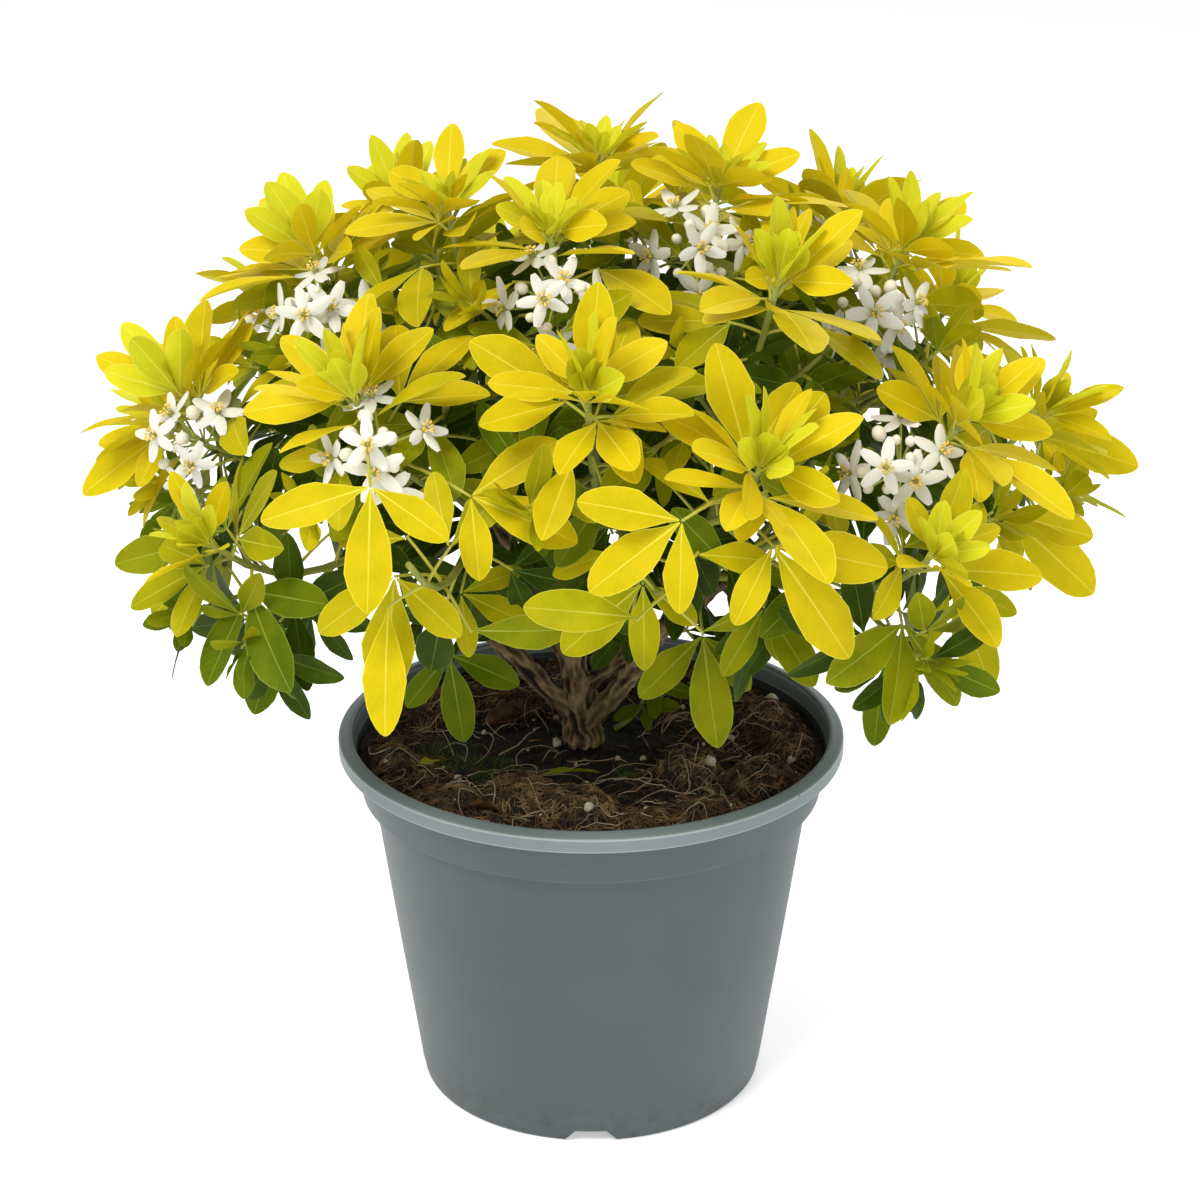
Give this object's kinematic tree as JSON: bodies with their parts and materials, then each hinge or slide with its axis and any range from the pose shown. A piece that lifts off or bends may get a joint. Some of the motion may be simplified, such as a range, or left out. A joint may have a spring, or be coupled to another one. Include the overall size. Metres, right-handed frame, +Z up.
{
  "type": "potted flowering shrub",
  "caption": "Rounded evergreen shrub with golden leaves of three leaflets and white star flowers, on a short woody trunk in a tapered plastic nursery pot.",
  "frame": {"origin": "centre of the flat middle of the pot's underside, on the pot's axis", "axes": "+Z up along the pot's axis; -Y towards the side that the picture shows; +X to the right seen from that side"},
  "size_m": [0.5426, 0.522, 0.5174],
  "materials": {
    "pot_plastic": "satin moulded, lightly scuffed",
    "compost": "moist and fibrous",
    "bark": "fissured",
    "foliage": "satin leaves"
  },
  "bodies": {
    "root": {"pot": "pot_plastic", "compost": "compost", "trunk": "bark", "bough_left": "bark", "bough_front_left": "bark", "bough_front": "bark", "bough_front_right": "bark", "bough_right": "bark", "bough_back_right": "bark", "bough_back": "bark", "bough_back_left": "bark", "leader": "bark", "foliage_top": "foliage", "foliage_crown_front": "foliage", "foliage_crown_left": "foliage", "foliage_crown_right": "foliage", "foliage_crown_back_right": "foliage", "foliage_crown_back_left": "foliage", "foliage_shoulder_left": "foliage", "foliage_shoulder_right": "foliage", "foliage_shoulder_far_right": "foliage", "foliage_shoulder_back": "foliage", "foliage_front": "foliage", "foliage_front_left": "foliage", "foliage_front_right": "foliage", "foliage_side_left": "foliage", "foliage_brow_right": "foliage", "foliage_side_right": "foliage", "foliage_side_back_right": "foliage", "foliage_back_right": "foliage", "foliage_back_left": "foliage", "foliage_side_back_left": "foliage", "foliage_skirt_left": "foliage", "foliage_skirt_front_left": "foliage", "foliage_skirt_front_right": "foliage", "foliage_skirt_right": "foliage", "foliage_skirt_back_right": "foliage", "foliage_skirt_back": "foliage", "foliage_skirt_back_left": "foliage"}
  },
  "joints": []
}
